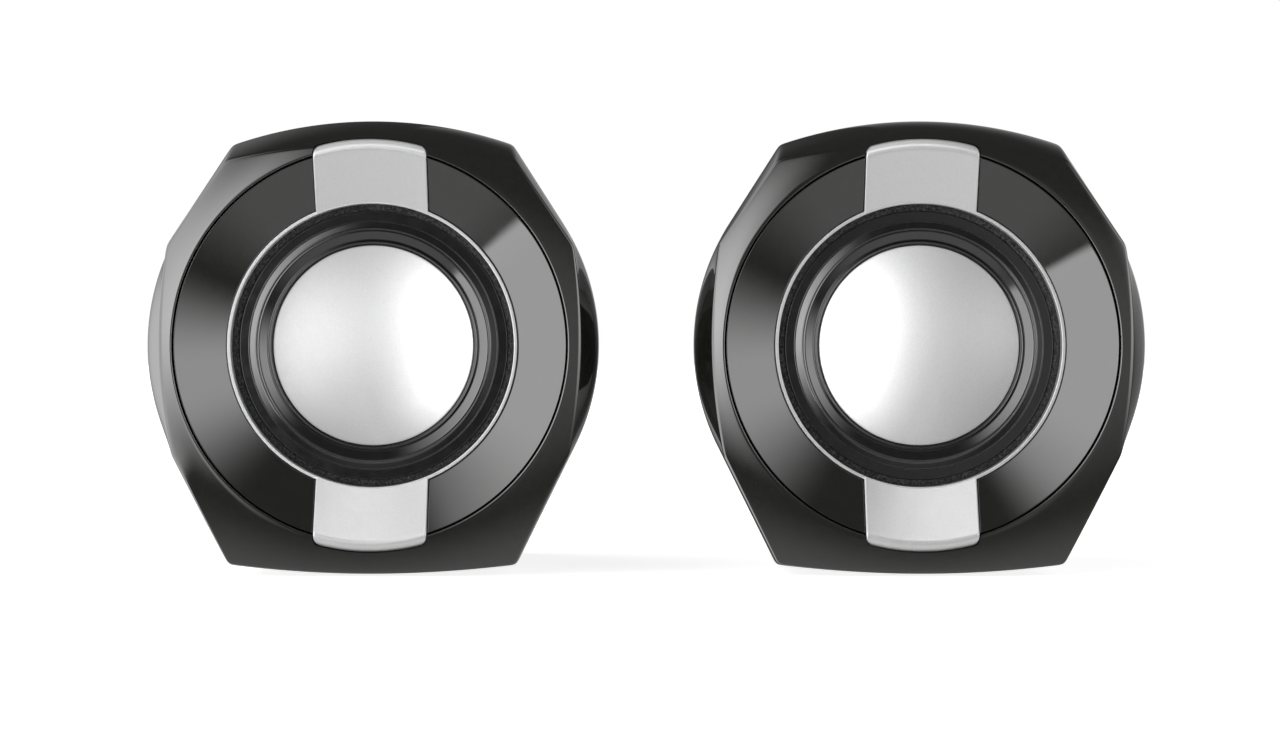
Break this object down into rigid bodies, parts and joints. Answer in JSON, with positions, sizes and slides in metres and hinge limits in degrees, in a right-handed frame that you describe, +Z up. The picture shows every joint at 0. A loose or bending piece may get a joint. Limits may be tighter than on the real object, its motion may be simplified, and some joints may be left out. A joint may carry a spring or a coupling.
{
  "type": "desktop speakers",
  "caption": "Pair of small free-standing desk loudspeakers, each a rounded glossy black case with a front-facing driver behind a silver ring, for playing computer sound.",
  "frame": {"origin": "on the desk top, midway between the two speakers, at the centre of the pair's depth", "axes": "+X to the right as seen from the front, +Y from front to back, +Z up"},
  "size_m": [0.1774, 0.0758, 0.0807],
  "materials": {
    "gloss_black": "high-gloss moulded black",
    "dish_black": "high-gloss moulded black",
    "matte_black": "fine spark-eroded black",
    "silver_trim": "satin silver paint",
    "dome_silver": "satin silver metallised film",
    "foam_black": "granular black foam",
    "steel_black": "black powder coat",
    "rubber_black": "smooth soft rubber",
    "paper_black": "pressed paper pulp",
    "former_paper": "brown insulating paper",
    "copper": "enamelled copper wire",
    "spider_cloth": "resin-dipped woven cloth",
    "zinc_steel": "zinc-plated steel",
    "ferrite": "sintered ferrite",
    "strip_board": "brown laminate",
    "tin": "tinned brass",
    "screw_steel": "black zinc-plated steel",
    "foot_rubber": "matte rubber",
    "bush_rubber": "matte moulded rubber",
    "board_green": "solder-masked circuit board",
    "chip_black": "moulded epoxy",
    "spreader_aluminium": "extruded, plain",
    "can_sleeve": "sleeved can",
    "socket_white": "moulded nylon",
    "lead_sleeve": "insulated stranded wire"
  },
  "bodies": {
    "left_speaker": {"left_front_shell": "gloss_black", "left_rear_shell": "matte_black", "left_dish": "dish_black", "left_trim": "silver_trim", "left_gasket": "foam_black", "left_basket": "steel_black", "left_surround": "rubber_black", "left_spider": "spider_cloth", "left_top_plate": "zinc_steel", "left_magnet": "ferrite", "left_yoke": "zinc_steel", "left_terminal_strip": "strip_board", "left_solder_tags": "tin", "left_case_screws": "screw_steel", "left_driver_screws": "screw_steel", "left_feet": "foot_rubber", "left_leads": "lead_sleeve", "left_cable_bush": "bush_rubber"},
    "left_diaphragm": {"left_cone": "paper_black", "left_dust_cap": "dome_silver", "left_coil_former": "former_paper", "left_coil_winding": "copper"},
    "right_speaker": {"right_front_shell": "gloss_black", "right_rear_shell": "matte_black", "right_dish": "dish_black", "right_trim": "silver_trim", "right_gasket": "foam_black", "right_basket": "steel_black", "right_surround": "rubber_black", "right_spider": "spider_cloth", "right_top_plate": "zinc_steel", "right_magnet": "ferrite", "right_yoke": "zinc_steel", "right_terminal_strip": "strip_board", "right_solder_tags": "tin", "right_case_screws": "screw_steel", "right_driver_screws": "screw_steel", "right_feet": "foot_rubber", "right_leads": "lead_sleeve", "right_link_cable_bush": "bush_rubber", "right_input_cable_bush": "bush_rubber", "right_amplifier_board": "board_green", "right_amplifier_chip": "chip_black", "right_heat_spreader": "spreader_aluminium", "right_capacitors": "can_sleeve", "right_lead_socket": "socket_white", "right_board_screws": "screw_steel"},
    "right_diaphragm": {"right_cone": "paper_black", "right_dust_cap": "dome_silver", "right_coil_former": "former_paper", "right_coil_winding": "copper"}
  },
  "joints": [
    {"name": "right_speaker_placing", "type": "slide", "parent": "left_speaker", "child": "right_speaker", "axis": [1, 0, 0], "range_m": [-0.012, 0.3]},
    {"name": "left_diaphragm_travel", "type": "slide", "parent": "left_speaker", "child": "left_diaphragm", "axis": [0, 1, 0], "range_m": [-0.0012, 0.0012], "stiffness_N_per_m": 800, "deforming": ["left_surround", "left_spider"]},
    {"name": "right_diaphragm_travel", "type": "slide", "parent": "right_speaker", "child": "right_diaphragm", "axis": [0, 1, 0], "range_m": [-0.0012, 0.0012], "stiffness_N_per_m": 800, "deforming": ["right_surround", "right_spider"]}
  ]
}
